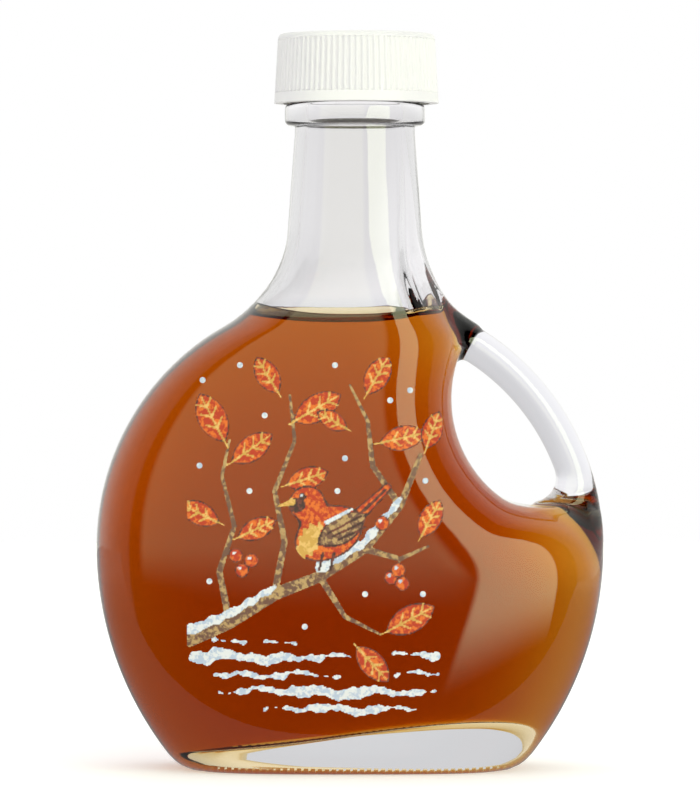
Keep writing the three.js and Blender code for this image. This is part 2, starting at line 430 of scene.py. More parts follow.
# Camera: the photograph's eye level is near the syrup's line, and its view is level.
view = {"distance": 1.1, "height": 0.088, "aimZ": 0.0748, "lens": 243.2, "sensor": 36, "clipEnd": 50}
letGo()
bpy.ops.object.camera_add(location=(0, -view["distance"], view["height"]))
camera = bpy.context.object
camera.data.lens = view["lens"]
camera.data.sensor_width = view["sensor"]
camera.data.clip_end = view["clipEnd"]
aim = Vector((0, 0, view["aimZ"])) - camera.location
camera.rotation_euler = aim.to_track_quat("-Z", "Y").to_euler()
bpy.context.scene.camera = camera
print("camera set")


# Clear glass, with drawn streaks in its neck and bar and short upright notches around its bearing edge. The
# neck and bar tints are painted light: lighter and bluer than the body's, they make up for the dim light
# seen through them and, on the neck, for the yellow reflections.
glassLook = {
    # the neck and bar tints are painted light, lighter and bluer than the same glass in the body
    "body": (0.935, 0.938, 0.96, 1), "bodyToo": (0.91, 0.915, 0.94, 1), "bar": (0.94, 0.94, 0.975, 1),
    "neck": (0.995, 0.99, 1.0, 1), "shadow": (0.93, 0.935, 0.95, 1), "bending": 1.5,
    "middleZ": 0.0452, "barReach": (0.0425, 0.0445), "barX": (0.016, 0.022), "barZ": (0.05, 0.06),
    "neckZ": (0.0915, 0.096), "neckStreaks": 260.0, "neckStretch": 0.1,
    "barStreaks": 330.0, "barStretch": 0.06, "waves": 38.0, "ripple": 0.00022, "rippleStrength": 0.5,
    "notchPitch": 0.0014, "notchSide": (0.008, 0.012), "notchRise": (0.1, 0.8), "notchZ": (0.0006, 0.0015),
}


def notchesAt(finish, x, y, z):
    # counted along X on the front and back, and along Y at the ends
    look = glassLook
    turns = 2 * math.pi / look["notchPitch"]
    alongFront = finish.step(y.size(), *look["notchSide"])
    wave = (x * turns).sine() * alongFront + (y * turns).sine() * (1 - alongFront)
    return finish.step(wave, *look["notchRise"]) * (1 - finish.step(z, *look["notchZ"]))


def clearGlass():
    look = glassLook
    finish = Finish("clearGlass")
    x, y, z = finish.apart(finish.place())
    reach = (x * x + (z - look["middleZ"]) * (z - look["middleZ"])).root()
    onBar = finish.step(reach, *look["barReach"]) * finish.step(x, *look["barX"])
    onBar = onBar * finish.step(z, *look["barZ"])
    upNeck = finish.step(z, *look["neckZ"])
    upright = finish.together(x, y, z * look["neckStretch"])
    neckStreaks = finish.noise(look["neckStreaks"], 2.0, at=upright) * upNeck * (1 - onBar)
    alongBar = finish.together(reach, y, z * look["barStretch"])
    barStreaks = finish.noise(look["barStreaks"], 2.0, at=alongBar) * onBar
    waves = finish.noise(look["waves"], 1.0)
    relief = waves + neckStreaks * 0.5 + barStreaks * 0.5 + notchesAt(finish, x, y, z) * 1.5
    tint = finish.blend(finish.noise(25.0), look["body"], look["bodyToo"])
    # painted light: lighter, bluer tints on the neck and bar in place of the light they lack
    tint = finish.blend(onBar, finish.blend(upNeck, tint, look["neck"]), look["bar"])
    normal = finish.bump(relief, look["ripple"], look["rippleStrength"])
    glass = finish.clearBody(tint, look["bending"], {"Normal": normal})
    return finish.done(finish.lampsPass(glass, look["shadow"]))


# The wall where syrup touches it: light barely turns as it passes from glass to syrup.
wetLook = {"tint": (1.0, 1.0, 1.0, 1), "tintToo": (0.995, 0.995, 1.0, 1), "bending": 1.025}


def wettedGlass():
    finish = Finish("wettedGlass")
    tint = finish.blend(finish.noise(30.0), wetLook["tint"], wetLook["tintToo"])
    return finish.done(finish.lampsPass(finish.clearBody(tint, wetLook["bending"]), (1, 1, 1, 1)))


# The syrup's side lies in the glass and turns no light. Its top meets the air.
syrupLook = {
    "absorbed": (0.942, 0.82, 0.5, 1), "density": 400.0,
    "tint": (0.97, 0.86, 0.62, 1), "tintDeep": (0.96, 0.84, 0.58, 1), "sideBending": 1.0, "topBending": 1.48,
}


def amberSyrup():
    look = syrupLook
    finish = Finish("amberSyrup")
    tint = finish.blend(finish.noise(22.0), look["tint"], look["tintDeep"])
    side = finish.clearBody(tint, look["sideBending"])
    top = finish.clearBody(tint, look["topBending"])
    onTop = finish.node("ShaderNodeAttribute", {"attribute_name": "syrupTop"}, None, out="Fac")
    surface = finish.node("ShaderNodeMixShader", None, {0: onTop, 1: side, 2: top})
    depth = finish.node("ShaderNodeVolumeAbsorption", None, {
        "Color": look["absorbed"], "Density": look["density"]})
    return finish.done(finish.lampsPass(surface, (1, 1, 1, 1)), depth)


glassFinish, wetFinish, syrupFinish = clearGlass(), wettedGlass(), amberSyrup()

# The liquid's level, how far it climbs the glass, and the rings of its top, by their distance from the wall.
liquid = {
    "level": 89.6, "climb": 2.3, "sideClimb": 2.3, "halfWidth": 20.5, "sideMost": 1.1, "curl": 1.4,
    "intoWall": 0.12, "topRings": (0.12, 0.3, 0.6, 1.0, 1.5, 2.1, 2.9, 4.0, 5.5, 7.5, 10.0),
    "wallFrom": 60, "wallTo": 100.0,
}

base = closedIn(ringAt(bodyField, 0.001), (0.35, 0.7, 0.9, 0.97))
bodyRings = base + ringsUp(bodyField, 0.001, flask["joinZ"])
glass = ballOfRings("glassFlask", bodyRings + closedIn(bodyRings[-1], (0.6, 0.3)))
print("flask body formed,", len(bodyRings), "rings")

# The neck's mouth: a bead below the cap and the rim inside it.
mouth = {
    "neck": 11.4, "below": 2.0, "above": 1.0, "bead": 14.25, "beadLow": 130.6, "beadHigh": 135.1,
    "lip": 13.3, "top": 147.0, "round": 1.1, "facets": 128,
}


def quarterRound(radius, z, under):
    # an edge's rounding: from the flat under it to its upright side, or from the side to the flat above
    k, turns = mouth["round"], np.linspace(0, math.pi / 2, 6)
    if under:
        return [(radius - k + k * math.sin(t), z + k - k * math.cos(t)) for t in turns]
    return [(radius - k + k * math.cos(t), z - k + k * math.sin(t)) for t in turns]


def mouthForm():
    m = mouth
    profile = [(m["neck"], flask["neckTopZ"] - m["below"]), (m["neck"], flask["neckTopZ"] + m["above"])]
    profile += quarterRound(m["bead"], m["beadLow"], under=True)
    profile += quarterRound(m["bead"], m["beadHigh"], under=False)
    profile += [(m["lip"], m["beadHigh"] + 0.05)]
    profile += quarterRound(m["lip"], m["top"], under=False)
    piece = startRing("mouthRim", *profile[0], flask["lean"], m["facets"], "NGON")
    drawUp(profile, flask["lean"], bpy.ops.mesh.extrude_region_move)
    facesOutwards()
    return piece


combine(glass, mouthForm(), "UNION")

# The handle: a round bar is drawn along an arc, and its foot spreads over the shoulder below it.
handle = {
    "outer": 51.5, "inner": 44.4, "halfDepth": 4.6, "extraDepth": 2.0, "extraDeg": (2, 18),
    "startDeg": -3.0, "endDeg": 66.0, "cornerRadius": 5.0, "cornerDeg": 20.5, "facets": 48, "steps": 96,
    "jointRound": 2.4, "sharedReach": (48.5, 51), "sharedZ": (62, 74),
    "jointX": 16, "jointLowZ": 44, "jointHighZ": 100, "weldReach": 3.0, "weld": 0.00012,
    "finerReach": (4.2, 2.6), "rounds": 5, "smoothReach": 4.6, "lastReach": 4.8,
}


def barAt(deg):
    # the bar's inner radius and half depth: its foot spreads in a round inner corner
    h = handle
    centre = h["inner"] - h["cornerRadius"]
    below = np.radians(np.maximum(h["cornerDeg"] - deg, 0))
    across = np.minimum(centre * np.sin(below), h["cornerRadius"])
    inner = centre * np.cos(below) + np.sqrt(h["cornerRadius"] ** 2 - across**2)
    return inner, h["halfDepth"] + h["extraDepth"] * (1 - easeStep(*h["extraDeg"], deg))


def handleForm():
    h = handle
    turn = np.linspace(0, 2 * math.pi, h["facets"], endpoint=False)
    rings = []
    for deg in np.linspace(h["startDeg"], h["endDeg"], h["steps"]):
        inner, halfDepth = barAt(deg)
        middle = (h["outer"] + inner) / 2
        reach = middle + (h["outer"] - middle) * np.cos(turn)
        along = math.radians(deg)
        z = flask["bodyCentreZ"] + reach * math.sin(along)
        rings.append(np.stack([reach * math.cos(along), halfDepth * np.sin(turn), z], axis=1))
    return ballOfRings("handleBar", rings)


combine(glass, handleForm(), "UNION")
print("mouth and handle joined")


def handleField(x, y, z):
    above = z - flask["bodyCentreZ"]
    inner, halfDepth = barAt(np.degrees(np.arctan2(above, x)))
    middle = (handle["outer"] + inner) / 2
    return sectionDistance(np.hypot(x, above) - middle, y, handle["outer"] - middle, halfDepth, 2.0)


def joinedField(x, y, z):
    # the bar's foot and the body share one outer side, which stays as it is
    reach = np.hypot(x, z - flask["bodyCentreZ"])
    shared = easeStep(*handle["sharedReach"], reach) * (1 - easeStep(*handle["sharedZ"], z))
    k = handle["jointRound"] * (1 - shared) + 0.01
    return -roundedMax(-bodyField(x, y, z), -handleField(x, y, z), k)


def ontoJoint(places):
    # points moved on to the surface that runs smoothly from the body into the bar
    for _ in range(4):
        slope = np.stack([(joinedField(*(places + by).T) - joinedField(*(places - by).T)) / 0.04
                          for by in np.eye(3) * 0.02], axis=1)
        share = joinedField(*places.T) / np.maximum((slope**2).sum(axis=1), 0.2)
        places = places - slope * np.clip(share, -1, 1)[:, None]
    return places


def nearJoint(places, reach):
    x, y, z = places.T
    near = (np.abs(bodyField(x, y, z)) < reach) & (np.abs(handleField(x, y, z)) < reach)
    return near & (x > handle["jointX"]) & (z > handle["jointLowZ"]) & (z < handle["jointHighZ"])


def pickJoint(reach):
    bpy.ops.object.mode_set(mode="OBJECT")
    pickPoints(glass, nearJoint(pointsOf(glass) * 1000, reach))


def settleJoint(reach):
    bpy.ops.object.mode_set(mode="OBJECT")
    places = pointsOf(glass) * 1000
    near = nearJoint(places, reach)
    places[near] = ontoJoint(places[near])
    setPoints(glass, places / 1000)
    return near


def softenJoints():
    # the bar and the body run into each other, as one blown piece does
    take(glass)
    pickJoint(handle["weldReach"])
    bpy.ops.mesh.remove_doubles(threshold=handle["weld"])
    for reach in handle["finerReach"]:
        pickJoint(reach)
        bpy.ops.mesh.quads_convert_to_tris()
        bpy.ops.mesh.subdivide(number_cuts=1)
    for _ in range(handle["rounds"]):
        pickPoints(glass, settleJoint(handle["smoothReach"]))
        bpy.ops.mesh.vertices_smooth(factor=0.5, repeat=2)
    settleJoint(handle["lastReach"])


softenJoints()
print("joints rounded")


def hollowForm(topZ, value):
    low = flask["floorZ"] - value + 0.001
    wall = ringsUp(hollowField, low, topZ, value)
    for ring in wall:
        ring[:, 2] += leanOfFloor(ring[:, 0], ring[:, 2])
    return closedIn(wall[0], (0.3, 0.6, 0.85)) + wall


def acrossRings(rings, heights):
    # the point at its own height on each upright line through the rings
    stack = np.array(rings)
    found = [[np.interp(z, stack[:, i, 2], stack[:, i, axis]) for axis in (0, 1)] + [z]
             for i, z in enumerate(heights)]
    return np.array(found)


def climbAt(x, share=1.0):
    # the syrup's edge climbs the glass, and higher towards the flask's sides
    aside = np.minimum(np.abs(x - flask["lean"]) / liquid["halfWidth"], liquid["sideMost"])
    return liquid["level"] + (liquid["climb"] + liquid["sideClimb"] * aside**3) * share


def upperWall(rings):
    return [ring for ring in rings if ring[:, 2].min() > liquid["wallFrom"]]


def edgeLine(rings, share=1.0):
    wall = upperWall(rings)
    line = acrossRings(wall, np.full(len(wall[0]), liquid["level"]))
    for _ in range(6):
        line = acrossRings(wall, climbAt(line[:, 0], share))
    return line


def splitAt(rings, line):
    # the rings below a line on the wall and those above it, with the line as the lower part's last ring
    below = [ring for ring in rings if ring[:, 2].max() < line[:, 2].min() - 0.5]
    above = [ring for ring in rings if ring[:, 2].min() > line[:, 2].max() + 0.5]
    wall = upperWall(rings)
    under = acrossRings(wall, (below[-1][:, 2] + line[:, 2]) / 2)
    over = acrossRings(wall, (above[0][:, 2] + line[:, 2]) / 2)
    return below + [under, line], [over] + above


hollowRings = hollowForm(flask["hollowTopZ"], 0.0)
wetted, dry = splitAt(hollowRings, edgeLine(hollowRings))
hollow = ballOfRings("hollow", wetted + dry + closedIn(dry[-1], (0.5,)))
for piece in (glass, hollow):
    piece.data.materials.clear()
    piece.data.materials.append(glassFinish)
    piece.data.materials.append(wetFinish)
for face in hollow.data.polygons:
    middle = face.center * 1000
    face.material_index = 1 if middle.z < climbAt(middle.x) else 0
combine(glass, hollow, "DIFFERENCE")

# The shallow hollow under the base.
pushUp = {"halfX": 24.0, "halfY": 9.0, "height": 1.2}
letGo()
bpy.ops.mesh.primitive_uv_sphere_add(segments=96, ring_count=48, radius=0.001)
dome = bpy.context.object
bpy.ops.transform.resize(value=(pushUp["halfX"], pushUp["halfY"], pushUp["height"]))
bpy.ops.object.transform_apply(location=True, rotation=True, scale=True)
combine(glass, dome, "DIFFERENCE")
take(glass)
bpy.ops.object.shade_smooth_by_angle(angle=math.radians(38))
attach(glass, "root")
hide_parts("glass_bottle")
print("glass finished,", len(glass.data.polygons), "faces")


# The syrup reaches just into the wall, and its surface climbs the glass at its edge.
def syrupForm():
    into = liquid["intoWall"]
    rings = hollowForm(liquid["wallTo"], into)
    wall = splitAt(rings, edgeLine(rings))[0]
    middle = np.array([flask["lean"], 0.0, 0.0])
    top = []
    for away in liquid["topRings"]:
        ring = edgeLine(rings, math.exp((into - away) / liquid["curl"]))
        inwards = (middle - ring) * np.array([1, 1, 0])
        ring += inwards * np.minimum(away / np.linalg.norm(inwards, axis=1), 0.9)[:, None]
        top.append(ring)
    top += closedIn(top[-1], (0.6, 0.25))
    piece = ballOfRings("amberSyrupFill", wall + top, topFrom=len(wall))
    piece.data.materials.append(syrupFinish)
    return piece


syrup = syrupForm()
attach(syrup, "root")
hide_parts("syrup")
print("syrup filled")


# The screw cap.
cap = {
    "x": 1.3, "low": 135.15, "high": 149.2, "lowRadius": 16.7, "topRadius": 15.9, "wall": 1.8,
    "band": 2.0, "ribs": 84, "ribDepth": 0.42, "ribFoot": 0.25, "ribHead": 0.2,
    "shoulder": 0.15, "round": 0.9, "dip": 0.05,
    "white": (0.85, 0.842, 0.865, 1), "whiteToo": (0.89, 0.88, 0.905, 1), "rough": 0.38, "roughMore": 0.12,
}


def whitePlastic():
    finish = Finish("whitePlastic")
    grain = finish.noise(900.0, 3.0)
    mottle = finish.noise(60.0, 2.0)
    return finish.done(finish.node("ShaderNodeBsdfPrincipled", None, {
        "Base Color": finish.blend(mottle, cap["white"], cap["whiteToo"]), "IOR": 1.5,
        "Roughness": cap["rough"] + grain * cap["roughMore"], "Normal": finish.bump(grain, 0.00003, 0.4)}))


def capProfile(bandTop, ribTop):
    # the straight wall, the rounded shoulder and the nearly flat top
    c = cap
    shareAt = lambda z: (z - c["low"]) / (c["high"] - c["low"])
    heights = (c["low"], bandTop, bandTop + c["ribFoot"], ribTop - c["ribHead"], ribTop)
    profile = [(between(c["lowRadius"], c["topRadius"], shareAt(z)), z) for z in heights]
    for t in np.linspace(0.1, math.pi / 2, 7):
        radius = c["topRadius"] - c["round"] * (1 - math.cos(t))
        profile.append((radius, c["high"] - c["round"] * (1 - math.sin(t))))
    dipped = c["high"] - c["dip"]
    return profile + [(c["topRadius"] * 0.9, c["high"]), (c["topRadius"] * 0.5, dipped), (0.4, dipped)]


def drawInGrooves(piece, around, low, high):
    # every other pair of upright lines is drawn in between the ribs
    places = pointsOf(piece) * 1000
    out = places - np.array([cap["x"], 0, 0])
    turn = np.rint(np.arctan2(out[:, 1], out[:, 0]) * around / (2 * math.pi)).astype(int) % 4
    inGroove = (turn >= 2) & (places[:, 2] > low) & (places[:, 2] < high)
    reach = np.hypot(out[:, 0], out[:, 1])
    shrink = np.where(inGroove, 1 - cap["ribDepth"] / np.maximum(reach, 1), 1)
    places[:, 0] = cap["x"] + out[:, 0] * shrink
    places[:, 1] = out[:, 1] * shrink
    setPoints(piece, places / 1000)


def capForm():
    c = cap
    around = c["ribs"] * 4
    bandTop, ribTop = c["low"] + c["band"], c["high"] - c["round"] - c["shoulder"]
    profile = capProfile(bandTop, ribTop)
    piece = startRing("ribbedCap", *profile[0], c["x"], around, "NOTHING")
    bpy.ops.mesh.select_mode(type="EDGE")
    drawUp(profile, c["x"], bpy.ops.mesh.extrude_edges_move)
    bpy.ops.mesh.merge(type="CENTER")
    facesOutwards()
    drawInGrooves(piece, around, bandTop + c["ribFoot"] / 2, ribTop - c["ribHead"] / 2)
    modify(piece, "SOLIDIFY", thickness=c["wall"] / 1000, offset=-1, use_even_offset=False)
    take(piece)
    bpy.ops.object.shade_smooth_by_angle(angle=math.radians(30))
    piece.data.materials.append(whitePlastic())
    return piece


screwCap = capForm()
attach(screwCap, "root")
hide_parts("screw_cap")
print("cap finished")


# The print: enamel colours fired on the front of the glass, laid out in millimetres.
design = {
    "cell": 0.25, "left": -32.5, "right": 18.5, "low": 10.5, "high": 83.5, "proud": 0.02, "thick": 0.04,
    "edgeReach": 0.45, "overlap": 0.06,
}

# Each paint's two shades are brushed into each other.
paints = {
    "snow": ((0.76, 0.78, 0.8), (0.47, 0.56, 0.7)),
    "bark": ((0.17, 0.085, 0.06), (0.5, 0.33, 0.14)),
    "leaf": ((0.48, 0.045, 0.018), (0.74, 0.17, 0.025)),
    "gold": ((0.62, 0.36, 0.08), (0.78, 0.5, 0.16)),
    "dark": ((0.06, 0.03, 0.03), (0.17, 0.05, 0.04)),
}


def strokeAt(x, z, points, wide, narrow):
    # distance outside a brush stroke that tapers from its first point to its last
    found = np.full(x.shape, 99.0)
    spans = len(points) - 1
    for i, ((x0, z0), (x1, z1)) in enumerate(zip(points, points[1:])):
        dx, dz = x1 - x0, z1 - z0
        along = np.clip(((x - x0) * dx + (z - z0) * dz) / (dx**2 + dz**2), 0, 1)
        across = np.hypot(x - between(x0, x1, along), z - between(z0, z1, along))
        found = np.minimum(found, across - between(wide, narrow, (i + along) / spans) / 2)
    return found


def turnedTo(x, z, middle, deg):
    # places as seen from a motif's middle: along it and across it
    turn = math.radians(deg)
    dx, dz = x - middle[0], z - middle[1]
    return dx * math.cos(turn) + dz * math.sin(turn), dz * math.cos(turn) - dx * math.sin(turn)


def leafAt(x, z, middle, deg, length, width):
    along, across = turnedTo(x, z, middle, deg)
    radius = (length**2 + width**2) / (4 * width)
    return np.hypot(along, np.abs(across) + radius - width / 2) - radius


def ovalAt(x, z, middle, deg, length, width):
    along, across = turnedTo(x, z, middle, deg)
    return (np.hypot(along / length, across / width) - 0.5) * min(length, width)


def dotAt(x, z, middle, width):
    return ovalAt(x, z, middle, 0, width, width)


# Places in the design, in millimetres. A leaf has its middle, turn, length and width, and a drift its
# points and the widths at its two ends.
bough = [(-32, 27.5), (-24, 31), (-15, 36.5), (-6, 40), (3, 45.5), (10, 54), (14, 64)]
twigs = [
    [(-24, 31), (-26, 41), (-23, 50), (-25.5, 60), (-24, 67)],
    [(-15, 36.5), (-13, 47), (-15, 57), (-11, 67), (-12, 76)],
    [(10, 54), (4.5, 62), (3.5, 71), (0, 78)],
    [(3, 45.5), (10, 43.5), (15.5, 46)],
    [(-6, 40), (-1, 32), (6, 28.5)],
]
leaves = [
    ((-27.5, 71.5), 118, 11, 6), ((-19.5, 65.5), 35, 10, 5.2), ((-30, 52.5), 155, 9, 4.8),
    ((-18.5, 49.5), 25, 8.5, 4.4), ((-16.5, 80), 122, 8.5, 4.8), ((-6.5, 73.5), 30, 11, 5.6),
    ((-8.5, 59.5), 18, 9, 4.6), ((5.5, 80), 60, 9, 5), ((-3.5, 71), 150, 7, 3.8),
    ((10.5, 67.5), 12, 9.5, 5), ((16.5, 69), 70, 8, 4.4), ((16, 51.5), 62, 8.5, 4.6),
    ((12, 31.5), 28, 11, 5.6), ((4.5, 22.5), -48, 9.5, 5),
]
berries = [(-21.5, 41.2), (-19.6, 43.2), (-22.7, 44.2), (6.4, 50.6), (8.2, 39.8), (10.4, 38.6), (9.6, 41.3)]
flakes = [
    (-29.5, 79), (-22, 82), (-3, 82), (12, 77), (15, 59), (-1, 63.5), (-20, 57), (-30, 62), (-5, 51),
    (3, 36.5), (-28, 39), (-9, 30), (14.5, 36.5), (-2.5, 57), (8, 75), (-17, 72),
]
drifts = [
    ([(-31, 23.8), (-24, 24.3), (-15, 23.4)], 2.6, 1.7), ([(-15, 23.4), (-6, 24.1), (0, 23.9)], 1.9, 0.3),
    ([(-20, 20.1), (-29, 20.6)], 1.3, 0.3), ([(-20, 20.1), (-9, 20.6), (-2, 20.2)], 1.3, 0.3),
    ([(-3, 16.6), (-15, 17.4), (-26, 16.9)], 2.5, 0.4), ([(-3, 16.6), (8, 17.1), (17, 16.6)], 2.5, 0.6),
    ([(0, 13.3), (-9, 13.8), (-17, 13.3)], 1.9, 0.3), ([(0, 13.3), (7, 13.4), (14, 13.9)], 1.9, 0.3),
    ([(17.5, 24.3), (13, 24.7), (8.5, 24.3)], 1.6, 0.3), ([(17.5, 20.7), (9, 20.5)], 0.9, 0.3),
    ([(-27, 27.0), (-19, 27.4)], 0.8, 0.3), ([(-11, 26.9), (-17, 26.6)], 0.7, 0.3),
]


bird = {
    "trunk": ((-4.2, 48.6), 28, 14.5, 10), "head": ((-8.6, 54.6), 20, 7.4, 6.8), "nape": 2.5,
    "tail": [(1.0, 51.5), (7.5, 57.8)], "tailLine": [(1.0, 51.5), (7.0, 57.2)],
    "breast": ((-8.0, 47.2), 62, 7.0, 4.0), "wing": ((-1.6, 49.4), 32, 11.5, 5.6),
    "quill": [(-4.5, 48.6), (2.2, 52.0)], "quillSteps": (0.0, 1.2, 2.4),
    "wingBar": [(-4.6, 50.8), (0.4, 53.4)],
    "cheek": ((-10.6, 54.2), 15, 3.4, 2.8), "beak": [(-11.6, 54.8), (-14.2, 54.0)],
    "eye": (-9.4, 55.9), "glint": (-9.6, 56.1), "legs": (-5.4, -3.2), "legTop": 44.6, "legFoot": 41.4,
}


def rimmed(shape, paint, rim):
    # a shape in one paint with a dark rim
    return [("dark", shape), (paint, shape + rim)]


def leafStrokes(x, z, middle, deg, length, width):
    turn = math.radians(deg)
    at = lambda u, v: (middle[0] + u * math.cos(turn) - v * math.sin(turn),
                       middle[1] + u * math.sin(turn) + v * math.cos(turn))
    veins = [[at(-length * 0.6, 0), at(length * 0.42, 0)]]
    for u in (-0.2, 0.02, 0.22):
        veins += [[at(length * u, 0), at(length * (u + 0.13), side * width * 0.3)] for side in (-1, 1)]
    leaf = rimmed(leafAt(x, z, middle, deg, length, width), "leaf", 0.34)
    return leaf + [("gold", strokeAt(x, z, vein, 0.34, 0.2)) for vein in veins]


def berryStrokes(x, z, spot):
    shine = ovalAt(x, z, (spot[0] - 0.4, spot[1] + 0.45), 0, 0.6, 0.5)
    return [("dark", dotAt(x, z, spot, 2.9)), ("leaf", dotAt(x, z, spot, 2.3)), ("snow", shine)]


def birdStrokes(x, z):
    # a small plump bird sitting on the bough
    b = bird
    trunk = -roundedMax(-ovalAt(x, z, *b["trunk"]), -ovalAt(x, z, *b["head"]), b["nape"])
    strokes = rimmed(strokeAt(x, z, b["tail"], 3.0, 1.7), "leaf", 0.4)
    strokes.append(("dark", strokeAt(x, z, b["tailLine"], 0.5, 0.4)))
    strokes += rimmed(trunk, "leaf", 0.38)
    strokes.append(("gold", ovalAt(x, z, *b["breast"]) + 0.3 * np.sin(3.1 * x + 2.2 * z)))
    strokes += rimmed(leafAt(x, z, *b["wing"]), "bark", 0.4)
    (x0, z0), (x1, z1) = b["quill"]
    for d in b["quillSteps"]:
        quill = [(x0 + d, z0 - d * 0.5), (x1 + d * 0.4, z1 - d * 0.9)]
        strokes.append(("dark", strokeAt(x, z, quill, 0.35, 0.3)))
    strokes.append(("snow", strokeAt(x, z, b["wingBar"], 0.8, 0.4)))
    strokes.append(("dark", ovalAt(x, z, *b["cheek"])))
    strokes.append(("gold", strokeAt(x, z, b["beak"], 1.4, 0.3)))
    strokes += [("dark", dotAt(x, z, b["eye"], 1.3)), ("snow", dotAt(x, z, b["glint"], 0.6))]
    for legX in b["legs"]:
        leg = [(legX, b["legTop"]), (legX - 0.7, b["legFoot"])]
        strokes.append(("dark", strokeAt(x, z, leg, 0.5, 0.4)))
    return strokes


def pictureAt(x, z):
    # the painted strokes in order, each with its paint and its distance
    ragged = 0.24 * np.sin(1.1 * x + 1.3 * z) + 0.12 * np.sin(3.1 * x - 0.9 * z)
    loose = z + 0.4 * np.sin(0.55 * x + 0.5 * z) + 0.1 * np.sin(1.7 * x)
    layers = [("snow", strokeAt(x, loose, *drift) + ragged) for drift in drifts]
    layers += [("snow", dotAt(x, z, spot, 1.2)) for spot in flakes]
    layers.append(("bark", strokeAt(x, z, bough, 3.4, 1.1)))
    layers += [("bark", strokeAt(x, z, twig, 1.5, 0.55)) for twig in twigs]
    for start, end in ((0, 2), (3, 5)):
        lying = [(px, pz + 1.7 - 0.15 * i) for i, (px, pz) in enumerate(bough[start:end + 1])]
        layers.append(("snow", strokeAt(x, z, lying, 2.0, 1.1) + ragged * 0.8))
    for leaf in leaves:
        layers += leafStrokes(x, z, *leaf)
    for spot in berries:
        layers += berryStrokes(x, z, spot)
    return layers + birdStrokes(x, z)


def onFront(x, z):
    # how far back the front face lies at each place
    inside, outside = np.zeros_like(x), np.full_like(x, -30.0)
    for _ in range(24):
        middle = (inside + outside) / 2
        within = bodyField(x, middle, z) < 0
        inside, outside = np.where(within, middle, inside), np.where(within, outside, middle)
    return inside


def firedEnamel():
    finish = Finish("firedEnamel")
    brushed = finish.step(finish.noise(900.0, 3.0, 0.6), 0.44, 0.6)
    first = finish.node("ShaderNodeAttribute", {"attribute_name": "paint"}, None, out="Color")
    second = finish.node("ShaderNodeAttribute", {"attribute_name": "paintToo"}, None, out="Color")
    return finish.done(finish.node("ShaderNodeBsdfPrincipled", None, {
        "Base Color": finish.blend(brushed, first, second), "Roughness": 0.32 + brushed * 0.12, "IOR": 1.5,
        "Specular IOR Level": 0.35, "Normal": finish.bump(brushed, 0.00002, 0.4)}))


def printForm():
    d = design
    across = round((d["right"] - d["left"]) / d["cell"])
    up = round((d["high"] - d["low"]) / d["cell"])
    letGo()
    bpy.ops.mesh.primitive_grid_add(x_subdivisions=across, y_subdivisions=up, size=2)
    piece = bpy.context.object
    piece.name = piece.data.name = "frontPrint"
    flat = pointsOf(piece)
    x = between(d["left"], d["right"], (flat[:, 0] + 1) / 2)
    z = between(d["low"], d["high"], (flat[:, 1] + 1) / 2)
    nearest = lambda px, pz: np.min([far for _, far in pictureAt(px, pz)], axis=0)
    far = nearest(x, z)
    slopeX, slopeZ = (nearest(x + 0.02, z) - far) / 0.02, (nearest(x, z + 0.02) - far) / 0.02
    steep = np.maximum(slopeX**2 + slopeZ**2, 0.3)
    edgeReach = d["edgeReach"] * d["cell"]
    atEdge = np.abs(far) < edgeReach
    x = x - np.where(atEdge, far * slopeX / steep, 0)
    z = z - np.where(atEdge, far * slopeZ / steep, 0)
    setPoints(piece, np.stack([x, onFront(x, z) - d["proud"], z], axis=1) / 1000)
    for name, index in (("paint", 0), ("paintToo", 1)):
        colours = np.ones((len(x), 4))
        for paint, distance in pictureAt(x, z):
            colours[distance < d["overlap"], :3] = paints[paint][index]
        made = piece.data.attributes.new(name, "FLOAT_COLOR", "POINT")
        made.data.foreach_set("color", colours.ravel())
    pickPoints(piece, far > edgeReach)
    bpy.ops.mesh.delete(type="VERT")
    facesOutwards()
    if piece.data.polygons[0].normal.y > 0:
        piece.data.flip_normals()
    modify(piece, "SOLIDIFY", thickness=d["thick"] / 1000, offset=1)
    bpy.ops.object.shade_smooth_by_angle(angle=math.radians(40))
    piece.data.materials.append(firedEnamel())
    return piece


frontPrint = printForm()
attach(frontPrint, "root")
print("print laid on the glass,", len(frontPrint.data.polygons), "faces")


# The studio: a pale floor, a white surround with a dim side behind the camera, and soft lamps.
studio = {
    "floorRadius": 1.2, "floorPale": (0.93, 0.93, 0.935, 1), "floorPaler": (0.95, 0.95, 0.95, 1),
    "floorGlow": 0.3, "litWorld": 0.57, "dark": (0.01, 0.01, 0.01, 1),
    "tableEdge": -0.046, "tableHalf": 1.0, "tableTurn": (0.1, 0.45), "tableUnder": 0.0002,
    "tableNear": (0.38, 0.37, 0.36, 1), "tableFar": (0.66, 0.65, 0.63, 1),
    "panel": (-60.0, 15.0), "panelLow": -5.0, "panelSoft": 4.0, "panelColour": (1.3, 1.35, 0.75, 1),
    "strip": (20.0, 60.0), "stripLean": 0.45, "stripMost": 32.0, "stripLow": (-19.0, -8.0),
    "stripSoft": 1.2, "stripColour": (4.0, 4.4, 2.7, 1),
    "leftTent": (75.0, 130.0), "rightTent": (88.0, 135.0), "tentSoft": 3.0, "tentStart": 0.35,
    "tentMore": 0.65, "tentColour": (1.0, 1.0, 0.95, 1),
    "nearColour": (0.42, 0.38, 0.32, 1), "nearTurn": (-0.05, 0.7),
    "besideColour": (0.8, 0.79, 0.77, 1), "besideTurn": (-0.05, 0.9),
    "dimAbove": 0.27, "dimTurn": (-12.0, 8.0),
}


